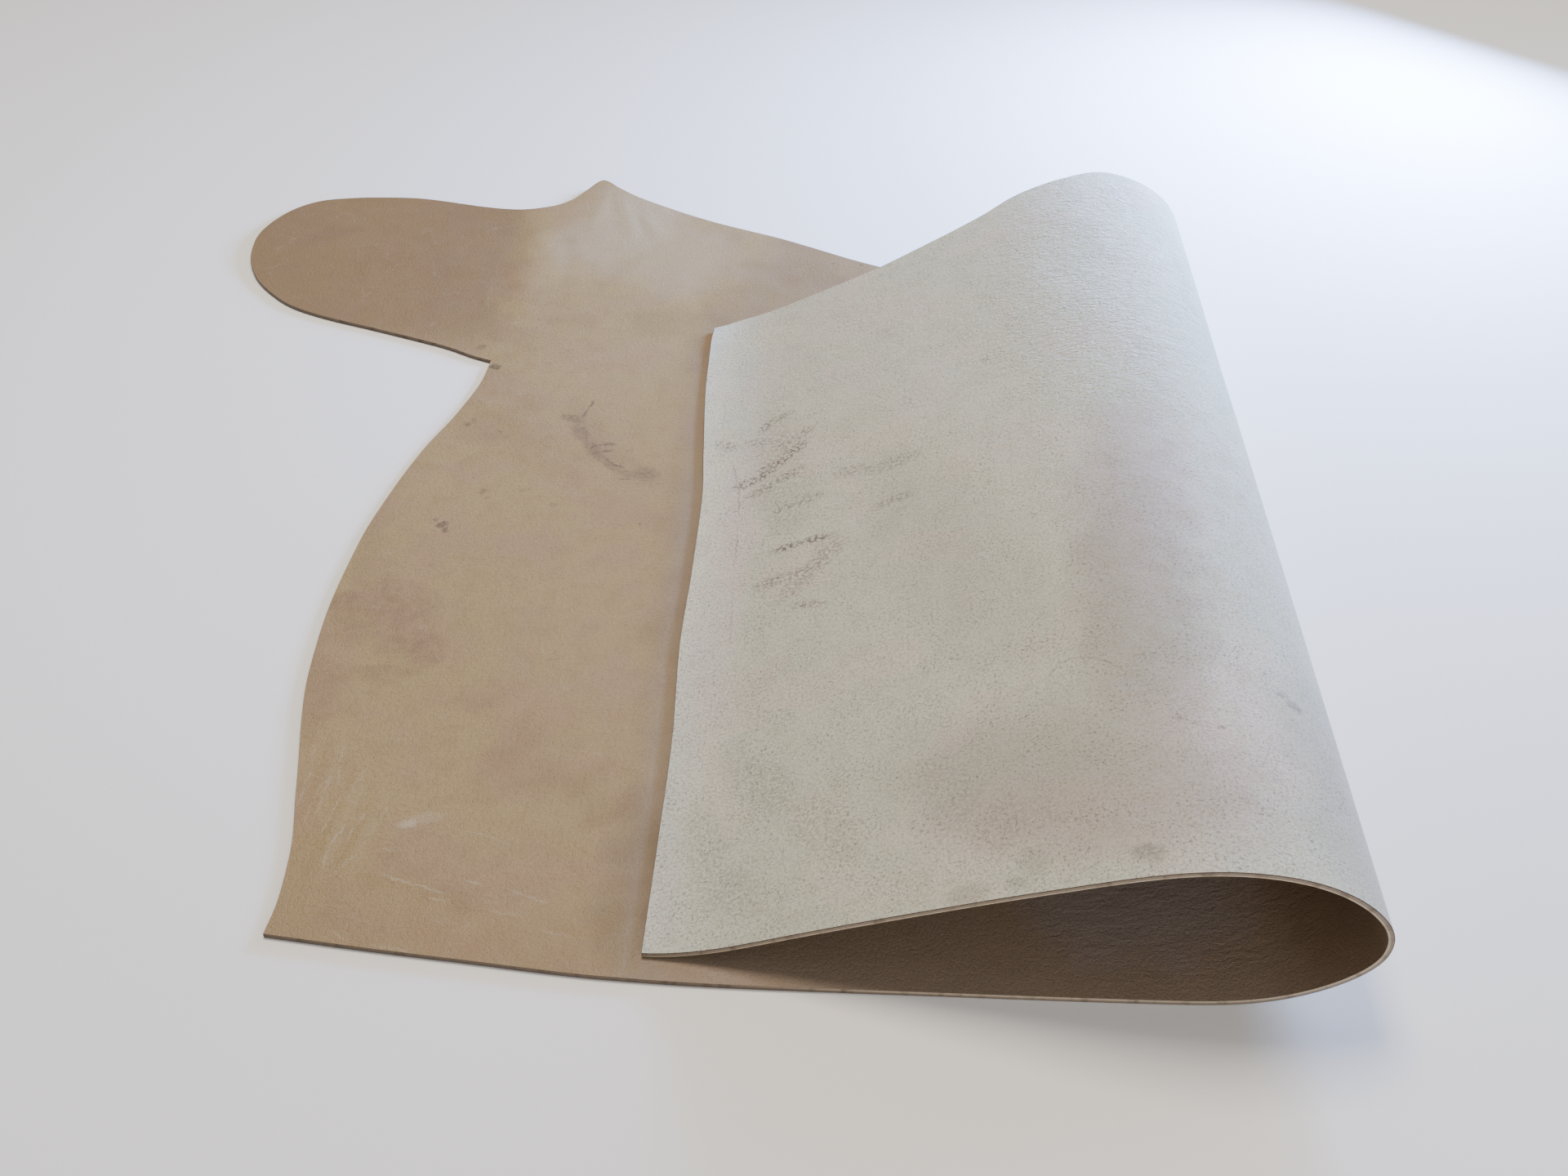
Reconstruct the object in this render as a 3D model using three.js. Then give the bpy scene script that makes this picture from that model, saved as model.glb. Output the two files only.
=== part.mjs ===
// A shoulder cut of vegetable-tanned cowhide, lying grain side up with one end folded back over itself.
// Millimetres, +Z up. The flat cut is described by its outline, then bent along one fold.
// In the outline, x runs along the straight cut front edge and y runs back from it.
import * as THREE from 'three';

// Sizes of the hide and of the fold
const thickness = 3.3;
const layerGap = 0.5;
const foldStart = 496;
const tuckedEnd = 1044;

// Where the foreleg meets the body: the armpit, and the first full column behind it
const armpit = { x: 31, y: 616 };
const bodyStart = 145;
const tipStart = 989;

// How finely the sheet is divided
const legSteps = 18;
const fanSteps = 8;
const tipSteps = 4;
const frontRows = 16;
const backRows = 6;
const longestStep = 25;
const sharpestStep = THREE.MathUtils.degToRad(9);
const walkStep = 0.5;
// Steps are shorter near the foreleg's round end and near the front edge
const crowding = 1.35;

// The bend, measured along the leather from where it leaves the surface: direction turned through so far
const bend = [
  { at: 0, turned: 0 },
  { at: 20, turned: 3.5 },
  { at: 60, turned: 21.4 },
  { at: 100, turned: 49 },
  { at: 120, turned: 87 },
  { at: 140, turned: 124 },
  { at: 180, turned: 155 },
  { at: 220, turned: 176 },
  { at: 260, turned: 192 },
  { at: 310, turned: 200.5 },
  { at: 480, turned: 202 },
  { at: 525, turned: 192 },
  { at: 550, turned: 180 },
];
const levelFrom = 240;

// Front edge, cut nearly straight
const frontEdge = [
  { x: 0, y: 30 },
  { x: 55, y: 22.5 },
  { x: 110, y: 15.9 },
  { x: 190, y: 6.9 },
  { x: 252, y: 3.6 },
  { x: 357, y: 1.6 },
  { x: 496, y: 0 },
  { x: 704, y: 0.5 },
  { x: 772, y: 2.9 },
  { x: 854, y: 9 },
  { x: 954, y: 15.7 },
  { x: 1044, y: 20 },
];

// Neck edge of the body, from the front corner up to the armpit
const neckEdge = [
  { y: 30, x: 0.5 },
  { y: 53, x: 2.4 },
  { y: 86, x: 0.8 },
  { y: 140, x: -8.7 },
  { y: 245, x: -26.2 },
  { y: 298, x: -28.2 },
  { y: 376, x: -23.4 },
  { y: 437, x: -12.9 },
  { y: 492, x: 0.7 },
  { y: 539, x: 17 },
  { y: 590, x: 29.1 },
  { y: 616, x: 31 },
];

// Front and back edges of the foreleg, both from its round end towards the body
const legFrontEdge = [
  { x: -213.6, y: 813 },
  { x: -207.8, y: 774.7 },
  { x: -197, y: 746 },
  { x: -168, y: 710.6 },
  { x: -134, y: 687.2 },
  { x: -73, y: 662.7 },
  { x: -14, y: 638.8 },
  { x: 14, y: 623.5 },
  { x: 31, y: 616 },
];
const legBackEdge = [
  { x: -213.6, y: 821 },
  { x: -205, y: 851 },
  { x: -194, y: 869 },
  { x: -168, y: 888.5 },
  { x: -123, y: 896 },
  { x: -76, y: 894.5 },
  { x: -12, y: 878.5 },
  { x: 15, y: 874 },
  { x: 31, y: 875 },
];

// Back edge, with the peak behind the foreleg
const backEdge = [
  { x: 31, y: 875 },
  { x: 48, y: 879.5 },
  { x: 62, y: 889 },
  { x: 75, y: 908.5 },
  { x: 88, y: 928 },
  { x: 105, y: 913 },
  { x: 122, y: 898.5 },
  { x: 138, y: 888.5 },
  { x: 201, y: 855 },
  { x: 262, y: 826 },
  { x: 343, y: 781 },
  { x: 420, y: 750 },
  { x: 496, y: 742 },
  { x: 573, y: 748 },
  { x: 650, y: 763 },
  { x: 701, y: 763 },
  { x: 742, y: 750 },
  { x: 784, y: 735.5 },
  { x: 812, y: 719.5 },
  { x: 869, y: 699 },
  { x: 909, y: 688 },
  { x: 974, y: 679.5 },
  { x: 1017, y: 674.5 },
  { x: 1044, y: 665.5 },
];

// Cut end of the folded flap: how far it falls short of, or passes, a straight line
const flapEnd = [
  { y: 20, past: 0 },
  { y: 100, past: -2 },
  { y: 180, past: -3.5 },
  { y: 270, past: -1.5 },
  { y: 345, past: -4 },
  { y: 430, past: -5.5 },
  { y: 490, past: -2.5 },
  { y: 590, past: 1.5 },
  { y: 640, past: 1.5 },
  { y: 680, past: -1.5 },
];

// Where the lower layer stands a little off the surface
const lifts = [
  { x: 92, y: 930, reach: 140, height: 5 },
  { x: -213, y: 820, reach: 110, height: 2.5 },
];

// Smooth value through the rows of a table, which never swings past them
function through(rows, from, to, at) {
  const last = rows.length - 1;
  const held = THREE.MathUtils.clamp(at, rows[0][from], rows[last][from]);
  let row = 0;
  while (row < last - 1 && held > rows[row + 1][from]) row += 1;
  const slope = (k) => {
    const a = THREE.MathUtils.clamp(k, 0, last - 1);
    return (rows[a + 1][to] - rows[a][to]) / (rows[a + 1][from] - rows[a][from]);
  };
  const lean = (k) => {
    const before = slope(k - 1);
    const after = slope(k);
    return before * after > 0 ? (2 * before * after) / (before + after) : 0;
  };
  const span = rows[row + 1][from] - rows[row][from];
  const t = (held - rows[row][from]) / span;
  const rise = t * t * (3 - 2 * t);
  const early = t * (1 - t) * (1 - t) * span * lean(row);
  const late = t * t * (t - 1) * span * lean(row + 1);
  return THREE.MathUtils.lerp(rows[row][to], rows[row + 1][to], rise) + early + late;
}

// Middle of the leather's section, walked along from where it leaves the surface
function walkBend() {
  const length = tuckedEnd - foldStart + 12;
  const stops = [{ x: foldStart, z: thickness / 2, angle: 0 }];
  for (let at = walkStep; at <= length; at += walkStep) {
    const before = stops[stops.length - 1];
    const angle = THREE.MathUtils.degToRad(through(bend, 'at', 'turned', at - walkStep / 2));
    stops.push({
      x: before.x + walkStep * Math.cos(angle),
      z: before.z + walkStep * Math.sin(angle),
      angle,
    });
  }
  return stops;
}

// The flap is let down or up from the top of the fold until its end lies on the lower layer
function settle(stops) {
  const end = Math.round((tuckedEnd - foldStart) / walkStep);
  const drop = thickness * 1.5 + layerGap - stops[end].z;
  stops.forEach((stop, k) => {
    const t = THREE.MathUtils.clamp((k * walkStep - levelFrom) / (end * walkStep - levelFrom), 0, 1);
    stop.z += drop * t * t * (3 - 2 * t);
  });
  return stops;
}

const section = settle(walkBend());

// Place and direction of the section at a distance along the flat cut
function sectionAt(along) {
  if (along <= foldStart) return { x: along, z: thickness / 2, angle: 0 };
  const place = Math.min((along - foldStart) / walkStep, section.length - 1.001);
  const k = Math.floor(place);
  const t = place - k;
  return {
    x: THREE.MathUtils.lerp(section[k].x, section[k + 1].x, t),
    z: THREE.MathUtils.lerp(section[k].z, section[k + 1].z, t),
    angle: THREE.MathUtils.lerp(section[k].angle, section[k + 1].angle, t),
  };
}

// Distances along the cut where the full columns stand, closer where the leather bends
function columnStations() {
  const stations = [bodyStart];
  let along = bodyStart;
  while (along < tipStart) {
    let next = along + 2;
    const start = sectionAt(along).angle;
    while (next - along < longestStep && next < tipStart) {
      if (Math.abs(sectionAt(next).angle - start) > sharpestStep) break;
      next += 1;
    }
    along = Math.min(next, tipStart);
    stations.push(along);
  }
  return stations;
}

// Columns of the foreleg, from its round end to the armpit, each with its front and back point
function legColumns() {
  const trace = (rows) => new THREE.SplineCurve(rows.map((row) => new THREE.Vector2(row.x, row.y)));
  const front = trace(legFrontEdge);
  const back = trace(legBackEdge);
  const columns = [];
  for (let k = 0; k < legSteps; k += 1) {
    const share = (k / legSteps) ** crowding;
    columns.push({ front: front.getPointAt(share), back: back.getPointAt(share) });
  }
  return columns;
}

const stations = columnStations();

// One row of the body from its left end to the flap's end, at a share of each column's depth
function bodyRow(share, isBack) {
  const depth = THREE.MathUtils.lerp(through(frontEdge, 'x', 'y', 0), armpit.y, share);
  const left = isBack ? armpit.x : through(neckEdge, 'y', 'x', depth);
  const xs = [];
  for (let k = 0; k < fanSteps; k += 1) xs.push(THREE.MathUtils.lerp(left, bodyStart, k / fanSteps));
  xs.push(...stations);
  const row = xs.map((x) => pointOf(x, share, isBack));
  const end = pointOf(tuckedEnd, share, isBack);
  const last = tuckedEnd + through(flapEnd, 'y', 'past', end.y);
  for (let k = 1; k <= tipSteps; k += 1) {
    row.push(pointOf(THREE.MathUtils.lerp(tipStart, last, k / tipSteps), share, isBack));
  }
  return row;
}

// A point on a full column, in front of the armpit's line or behind it
function pointOf(x, share, isBack) {
  const near = isBack ? armpit.y : through(frontEdge, 'x', 'y', x);
  const far = isBack ? through(backEdge, 'x', 'y', x) : armpit.y;
  return new THREE.Vector2(x, THREE.MathUtils.lerp(near, far, share));
}

// The whole grid of the flat cut: rows of points, the ones in front of the armpit without a foreleg
function flatRows() {
  const rows = [];
  for (let k = 0; k < frontRows; k += 1) rows.push(bodyRow((k / frontRows) ** crowding, false));
  const leg = legColumns();
  for (let k = 0; k <= backRows; k += 1) {
    const share = k / backRows;
    const lead = leg.map(({ front, back }) => front.clone().lerp(back, share));
    rows.push([...lead, ...bodyRow(share, true)]);
  }
  return rows;
}

// Height by which the lower layer stands off the surface
function liftAt(x, y) {
  return lifts.reduce((sum, lift) => {
    const away = Math.min(Math.hypot(x - lift.x, y - lift.y) / lift.reach, 1);
    return sum + lift.height * (0.5 + 0.5 * Math.cos(Math.PI * away));
  }, 0);
}

// Bends a flat point to its place on one face: side 1 is the grain, side -1 the flesh
function bendPoint(flat, side) {
  const place = sectionAt(flat.x);
  const half = (side * thickness) / 2;
  const lift = flat.x < foldStart ? liftAt(flat.x, flat.y) : 0;
  return [
    place.x - half * Math.sin(place.angle),
    flat.y,
    place.z + half * Math.cos(place.angle) + lift,
  ];
}

// Closes the two faces and the cut edge into one solid
function leatherGeometry() {
  const rows = flatRows();
  const positions = [];
  const rowStart = [];
  rows.forEach((row) => {
    rowStart.push(positions.length / 6);
    row.forEach((flat) => positions.push(...bendPoint(flat, 1), ...bendPoint(flat, -1)));
  });
  const id = (row, column, side) => {
    const skipped = row < frontRows ? legSteps : 0;
    return 2 * (rowStart[row] + column - skipped) + side;
  };
  const columns = rows[rows.length - 1].length;
  const faces = [];
  const quad = (a, b, c, d) => faces.push(a, b, c, a, c, d);
  for (let row = 0; row < rows.length - 1; row += 1) {
    const first = row < frontRows ? legSteps : 0;
    for (let column = first; column < columns - 1; column += 1) {
      const corners = [[row, column], [row, column + 1], [row + 1, column + 1], [row + 1, column]];
      quad(...corners.map(([r, c]) => id(r, c, 0)));
      quad(...corners.reverse().map(([r, c]) => id(r, c, 1)));
    }
  }
  const wall = (from, to) => quad(id(...to, 0), id(...from, 0), id(...from, 1), id(...to, 1));
  outlineCells(rows.length, columns).forEach(([from, to]) => wall(from, to));
  const geometry = new THREE.BufferGeometry();
  geometry.setAttribute('position', new THREE.Float32BufferAttribute(positions, 3));
  geometry.setIndex(faces);
  return geometry;
}

// Neighbouring grid points around the outline, anticlockwise seen from the grain side
function outlineCells(rowCount, columns) {
  const path = [];
  const top = rowCount - 1;
  for (let column = legSteps; column < columns; column += 1) path.push([0, column]);
  for (let row = 1; row <= top; row += 1) path.push([row, columns - 1]);
  for (let column = columns - 2; column >= 0; column -= 1) path.push([top, column]);
  for (let row = top - 1; row >= frontRows; row -= 1) path.push([row, 0]);
  for (let column = 1; column <= legSteps; column += 1) path.push([frontRows, column]);
  for (let row = frontRows - 1; row >= 0; row -= 1) path.push([row, legSteps]);
  return path.slice(1).map((cell, k) => [path[k], cell]);
}

// The piece stands with the middle of its box over the origin
function centred(geometry) {
  geometry.computeBoundingBox();
  const { min, max } = geometry.boundingBox;
  geometry.translate(-(min.x + max.x) / 2, -(min.y + max.y) / 2, -min.z);
  geometry.computeVertexNormals();
  return geometry;
}

const leather = new THREE.MeshStandardMaterial({ color: 0xa8977c, roughness: 0.62, metalness: 0 });
const sheet = new THREE.Mesh(centred(leatherGeometry()), leather);
sheet.name = 'leather_sheet';

const group = new THREE.Group();
group.add(sheet);

export default group;
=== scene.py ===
"""A folded shoulder cut of vegetable-tanned leather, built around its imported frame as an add-on."""
import math

import bmesh
import bpy
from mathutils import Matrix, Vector


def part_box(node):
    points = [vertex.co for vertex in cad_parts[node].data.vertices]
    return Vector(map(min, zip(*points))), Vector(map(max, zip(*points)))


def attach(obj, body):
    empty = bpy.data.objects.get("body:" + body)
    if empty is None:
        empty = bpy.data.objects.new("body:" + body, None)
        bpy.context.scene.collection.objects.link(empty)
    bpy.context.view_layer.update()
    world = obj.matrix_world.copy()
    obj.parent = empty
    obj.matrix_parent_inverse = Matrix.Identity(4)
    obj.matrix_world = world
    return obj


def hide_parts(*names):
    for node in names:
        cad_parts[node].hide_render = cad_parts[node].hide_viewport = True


bl_info = {
    "name": "Folded Leather Shoulder",
    "version": (1, 0, 0),
    "blender": (4, 5, 0),
    "location": "View3D > Sidebar > Leather",
    "description": "A thick vegetable-tanned leather shoulder, lying folded over itself in an open loop",
    "category": "Add Mesh",
}

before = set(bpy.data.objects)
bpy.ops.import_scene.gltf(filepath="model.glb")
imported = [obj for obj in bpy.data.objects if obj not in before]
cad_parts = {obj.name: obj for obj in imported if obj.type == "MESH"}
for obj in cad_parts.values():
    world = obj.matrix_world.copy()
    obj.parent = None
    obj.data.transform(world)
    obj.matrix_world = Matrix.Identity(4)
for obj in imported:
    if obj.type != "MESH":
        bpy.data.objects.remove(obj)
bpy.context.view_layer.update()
NODE = "leather_sheet"

# Length scales, in metres
MM = 0.001
LEATHER_WEIGHT = 3.3 * MM
LAYER_GAP = 0.5 * MM
EDGE_BULGE = 0.35 * MM

# The flat cut: x runs along the straight front edge, y back from it, both in metres
FOLD_START = 0.496
TUCKED_END = 1.044
ARMPIT_X, ARMPIT_Y = 0.031, 0.616
BODY_START = 0.145
TIP_START = 0.989
# Lowest x and y of the plain solid on its flat cut, which give the scene its place
LOWEST_X, LOWEST_Y = -0.2136, 0.0

# Columns and rows of the grid that becomes the leather
LEG_STEPS = 56
FAN_STEPS = 40
BEND_STEPS = 176
TIP_STEPS = 12
FRONT_ROWS = 104
BACK_ROWS = 50
EDGE_CUTS = 5
# Steps along the bend up to the flap's end, and past it
WALK_STEPS = 1072
WALK_SPARE = 24
# Fine steps that even ones are read from
SPLINE_STEPS = 400
STATION_STEPS = 2000
# How the foreleg's columns crowd towards its round end
CROWDING = 1.2
# Length of leather, in metres, that a radian of bend counts for where columns are placed
TURN_LENGTH = 0.05

# Bend of the leather. Columns: distance from where it leaves the surface, degrees turned so far
BEND = (
    (0.000, 0.0), (0.020, 3.5), (0.060, 21.4), (0.100, 49.0), (0.120, 87.0), (0.140, 124.0), (0.180, 155.0),
    (0.220, 176.0), (0.260, 192.0), (0.310, 200.5), (0.480, 202.0), (0.525, 192.0), (0.550, 180.0),
)
LEVEL_FROM = 0.240

# Outline of the flat cut. Columns: x, y
FRONT_EDGE = (
    (0.000, 0.0300), (0.055, 0.0225), (0.110, 0.0159), (0.190, 0.0069), (0.252, 0.0036), (0.357, 0.0016),
    (0.496, 0.0000), (0.704, 0.0005), (0.772, 0.0029), (0.854, 0.0090), (0.954, 0.0157), (1.044, 0.0200),
)
BACK_EDGE = (
    (0.031, 0.8750), (0.048, 0.8795), (0.062, 0.8890), (0.075, 0.9085), (0.088, 0.9280), (0.105, 0.9130),
    (0.122, 0.8985), (0.138, 0.8885), (0.201, 0.8550), (0.262, 0.8260), (0.343, 0.7810), (0.420, 0.7500),
    (0.496, 0.7420), (0.573, 0.7480), (0.650, 0.7630), (0.701, 0.7630), (0.742, 0.7500), (0.784, 0.7355),
    (0.812, 0.7195), (0.869, 0.6990), (0.909, 0.6880), (0.974, 0.6795), (1.017, 0.6745), (1.044, 0.6655),
)
LEG_FRONT_EDGE = (
    (-0.2121, 0.8060), (-0.2111, 0.7930), (-0.2084, 0.7765), (-0.2020, 0.7585), (-0.1917, 0.7390),
    (-0.1755, 0.7188), (-0.1530, 0.6982), (-0.1206, 0.6811), (-0.0730, 0.6627), (-0.0140, 0.6388),
    (0.0140, 0.6235), (0.0310, 0.6160),
)
LEG_BACK_EDGE = (
    (-0.2121, 0.8110), (-0.2110, 0.8215), (-0.2082, 0.8330), (-0.2034, 0.8470), (-0.1950, 0.8640),
    (-0.1835, 0.8783), (-0.1680, 0.8885), (-0.1468, 0.8936), (-0.1230, 0.8960), (-0.0760, 0.8945),
    (-0.0120, 0.8785), (0.0150, 0.8740), (0.0310, 0.8750),
)
# Columns: y, x
NECK_EDGE = (
    (0.030, 0.0005), (0.053, 0.0024), (0.086, 0.0008), (0.140, -0.0087), (0.245, -0.0262), (0.298, -0.0282),
    (0.376, -0.0234), (0.437, -0.0129), (0.492, 0.0007), (0.539, 0.0170), (0.590, 0.0291), (0.616, 0.0310),
)
# Columns: y, how far the cut end passes a straight line
FLAP_END = (
    (0.020, 0.0000), (0.100, -0.0020), (0.180, -0.0035), (0.270, -0.0015), (0.345, -0.0040), (0.430, -0.0055),
    (0.490, -0.0025), (0.590, 0.0015), (0.640, 0.0015), (0.680, -0.0015),
)
# Where the lower layer stands off the surface. Columns: x, y, reach, height
LIFTS = (
    (0.092, 0.930, 0.140, 0.005),
    (-0.213, 0.820, 0.110, 0.0025),
)

# Faces take a material by band, because one material holds only so many marks. Columns: name, x and y ranges
GRAIN_BANDS = (
    ("front", -0.30, 0.42, -0.10, 0.20),
    ("middle", -0.30, 0.42, 0.20, 0.58),
    ("back", -0.30, 0.42, 0.58, 1.00),
    ("inside", 0.42, 1.10, -0.10, 1.00),
)
FLESH_BANDS = (
    ("under", -0.30, 0.56, -0.10, 1.00),
    ("flap_front", 0.56, 1.10, -0.10, 0.36),
    ("flap_back", 0.56, 1.10, 0.36, 1.00),
)

# Soft creases and hollows of the whole thickness. Columns: x, y, half length, half width, turn, height
CREASES = (
    (0.046, 0.762, 0.115, 0.030, 94, 0.0022),
    (0.232, 0.760, 0.085, 0.034, 72, 0.0016),
    (0.118, 0.858, 0.060, 0.011, -76, 0.0007),
    (0.142, 0.842, 0.052, 0.010, -66, 0.0005),
    (0.090, 0.862, 0.045, 0.010, -97, 0.0005),
    (-0.110, 0.785, 0.090, 0.055, 8, 0.0012),
    (0.022, 0.112, 0.062, 0.007, -96, 0.0007),
    (0.038, 0.100, 0.050, 0.007, -100, 0.0006),
    (0.007, 0.150, 0.050, 0.006, -90, 0.0006),
    (0.085, 0.064, 0.050, 0.009, -18, 0.0006),
    (0.120, 0.560, 0.150, 0.100, 20, 0.0010),
    (0.110, 0.260, 0.190, 0.090, 100, 0.0010),
    (0.655, 0.560, 0.130, 0.035, 84, 0.0016),
    (0.700, 0.470, 0.150, 0.040, 78, -0.0014),
    (0.740, 0.610, 0.090, 0.045, 70, 0.0012),
    (0.760, 0.250, 0.160, 0.060, 96, -0.0014),
    (0.690, 0.150, 0.140, 0.040, 98, 0.0012),
    (0.860, 0.450, 0.120, 0.070, 60, -0.0010),
    (0.850, 0.140, 0.110, 0.060, 120, 0.0008),
)

# How far the shaking of its borders may carry a mark past its reach
SHAKEN = 15 * MM
# How far the parts of a stroke run over one another, as a share of their length
STROKE_OVERLAP = 1.15

# Marks on the flat cut. Columns: x, y, half length, half width, turn in degrees, strength
# Painted sheen at the shoulder point and on the back
SHEEN_GRAIN = (
    (0.120, 0.850, 0.120, 0.070, 70, 0.55),
    (0.170, 0.790, 0.090, 0.070, 100, 0.34),
)
BARE_GRAIN = (
    (0.064, 0.113, 0.0075, 0.0045, 15, 0.75),
    (0.072, 0.117, 0.015, 0.006, 15, 0.3),
)
REDDISH_GRAIN = (
    (0.001, 0.116, 0.034, 0.012, 84, 0.12),
    (0.110, 0.026, 0.040, 0.014, 0, 0.16),
)
# Painted reflection inside the loop
LOOP_REFLECTION_GRAIN = (
    (0.480, 0.075, 0.105, 0.085, 10, 0.90),
)
# Painted shade inside the loop
LOOP_SHADE_GRAIN = (
    (0.610, 0.060, 0.080, 0.140, 0, 0.70),
)
# Painted shadow along the flap's end and beside its front
FLAP_SHADOW_GRAIN = (
    (0.207, 0.340, 0.520, 0.026, 90, 0.14),
    (0.204, 0.075, 0.090, 0.034, 90, 0.30),
)
GRAIN_STAINS = (
    (0.031, 0.398, 0.0065, 0.0040, 35, 1.0),
    (0.035, 0.392, 0.0035, 0.0050, 10, 0.8),
    (0.026, 0.404, 0.0025, 0.0030, 10, 0.6),
    (0.036, 0.606, 0.0050, 0.0065, 80, 1.0),
    (0.020, 0.636, 0.0060, 0.0045, 60, 0.6),
    (0.028, 0.524, 0.0050, 0.0035, 120, 0.6),
    (0.032, 0.529, 0.0030, 0.0060, 10, 0.35),
    (0.054, 0.438, 0.0042, 0.0038, 40, 0.6),
    (0.058, 0.431, 0.0030, 0.0020, 150, 0.5),
    (0.055, 0.514, 0.0030, 0.0030, 0, 0.45),
    (0.061, 0.508, 0.0040, 0.0030, 30, 0.3),
    (0.083, 0.441, 0.0060, 0.0025, 20, 0.3),
    (0.108, 0.424, 0.0060, 0.0030, 5, 0.35),
    (0.096, 0.434, 0.0030, 0.0020, 0, 0.25),
    (0.172, 0.403, 0.0018, 0.0015, 0, 0.7),
    (0.039, 0.294, 0.0016, 0.0014, 0, 0.7),
    (0.156, 0.493, 0.0035, 0.0025, 0, 0.3),
    (0.307, 0.784, 0.0022, 0.0018, 0, 0.8),
    (0.332, 0.781, 0.0024, 0.0016, 20, 0.8),
    (0.230, 0.668, 0.0030, 0.0018, 60, 0.4),
)
GRAIN_SMUDGES = (
    (0.010, 0.300, 0.048, 0.036, 20, 0.40),
    (-0.012, 0.308, 0.022, 0.030, 70, 0.45),
    (0.033, 0.269, 0.030, 0.022, 10, 0.42),
    (0.045, 0.258, 0.012, 0.016, 60, 0.35),
    (0.004, 0.330, 0.020, 0.014, 40, 0.35),
    (0.090, 0.216, 0.024, 0.012, 15, 0.28),
    (0.018, 0.240, 0.036, 0.010, 5, 0.30),
    (-0.010, 0.350, 0.030, 0.018, 80, 0.20),
    (-0.151, 0.818, 0.040, 0.018, 30, 0.18),
    (-0.090, 0.775, 0.045, 0.022, 10, 0.16),
    (0.070, 0.545, 0.030, 0.012, 60, 0.16),
    (0.046, 0.480, 0.030, 0.010, 50, 0.14),
)
# Strokes along a few points. Columns: half width, strength, points
GRAIN_SCUFFS = (
    (0.0065, 0.75, ((0.102, 0.535), (0.108, 0.534), (0.115, 0.530))),
    (0.0085, 0.70, ((0.112, 0.524), (0.123, 0.504), (0.137, 0.481))),
    (0.0055, 0.65, ((0.137, 0.481), (0.151, 0.466), (0.162, 0.462))),
    (0.0120, 0.72, ((0.168, 0.464), (0.172, 0.463))),
    (0.0018, 1.00, ((0.115, 0.534), (0.118, 0.546), (0.122, 0.559))),
    (0.0030, 1.00, ((0.126, 0.494), (0.134, 0.500), (0.143, 0.500))),
    (0.0026, 1.00, ((0.128, 0.487), (0.135, 0.491), (0.142, 0.492))),
    (0.0024, 1.00, ((0.139, 0.482), (0.145, 0.475), (0.153, 0.471))),
    (0.0020, 0.80, ((0.152, 0.457), (0.163, 0.457))),
    (0.0170, 0.22, ((0.109, 0.549), (0.127, 0.505), (0.158, 0.469), (0.177, 0.459))),
)
PALE_CRACKS = (
    (0.0011, 0.9, ((0.056, 0.074), (0.076, 0.067), (0.094, 0.061))),
    (0.0010, 0.6, ((0.086, 0.058), (0.097, 0.055))),
    (0.0010, 0.7, ((0.104, 0.072), (0.116, 0.067))),
    (0.0011, 0.7, ((0.129, 0.066), (0.142, 0.060), (0.153, 0.056))),
    (0.0010, 0.6, ((0.052, 0.093), (0.064, 0.091))),
    (0.0010, 0.6, ((0.100, 0.108), (0.112, 0.104), (0.123, 0.099))),
    (0.0010, 0.5, ((0.037, 0.034), (0.048, 0.026))),
    (0.0009, 0.5, ((0.060, 0.024), (0.086, 0.020))),
    (0.0010, 0.4, ((0.120, 0.050), (0.142, 0.046))),
    (0.0010, 0.4, ((0.150, 0.038), (0.171, 0.032))),
    (0.0009, 0.4, ((0.060, 0.596), (0.086, 0.595), (0.112, 0.597))),
)
NECK_LINES = (
    (0.0011, 0.7, ((0.028, 0.112), (0.022, 0.094), (0.022, 0.078))),
    (0.0011, 0.6, ((0.006, 0.146), (0.004, 0.127), (0.003, 0.110))),
    (0.0012, 0.6, ((0.010, 0.154), (0.009, 0.135), (0.008, 0.117))),
    (0.0011, 0.7, ((0.020, 0.134), (0.017, 0.118), (0.015, 0.102))),
    (0.0010, 0.5, ((-0.003, 0.158), (-0.004, 0.141), (-0.005, 0.124))),
    (0.0011, 0.6, ((0.038, 0.088), (0.032, 0.078), (0.027, 0.070))),
    (0.0012, 0.6, ((0.038, 0.124), (0.034, 0.111), (0.031, 0.098))),
    (0.0010, 0.5, ((0.012, 0.178), (0.013, 0.160), (0.016, 0.142))),
    (0.0010, 0.5, ((0.030, 0.160), (0.026, 0.142), (0.024, 0.128))),
    (0.0010, 0.4, ((-0.008, 0.200), (-0.006, 0.180), (-0.006, 0.164))),
    (0.0010, 0.4, ((0.050, 0.130), (0.046, 0.112), (0.040, 0.098))),
    (0.0012, 0.7, ((0.104, 0.905), (0.110, 0.870), (0.117, 0.838), (0.122, 0.800))),
    (0.0011, 0.7, ((0.110, 0.898), (0.122, 0.862), (0.136, 0.826), (0.148, 0.790))),
    (0.0011, 0.5, ((0.116, 0.892), (0.132, 0.862), (0.148, 0.840))),
    (0.0010, 0.5, ((0.096, 0.902), (0.098, 0.866), (0.103, 0.834))),
    (0.0010, 0.4, ((0.124, 0.812), (0.122, 0.778), (0.127, 0.745))),
    (0.0010, 0.4, ((0.150, 0.884), (0.160, 0.850))),
    (0.0010, 0.4, ((0.118, 0.704), (0.130, 0.688), (0.138, 0.672))),
    (0.0009, 0.3, ((0.014, 0.742), (0.012, 0.718), (0.016, 0.694))),
)
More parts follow.
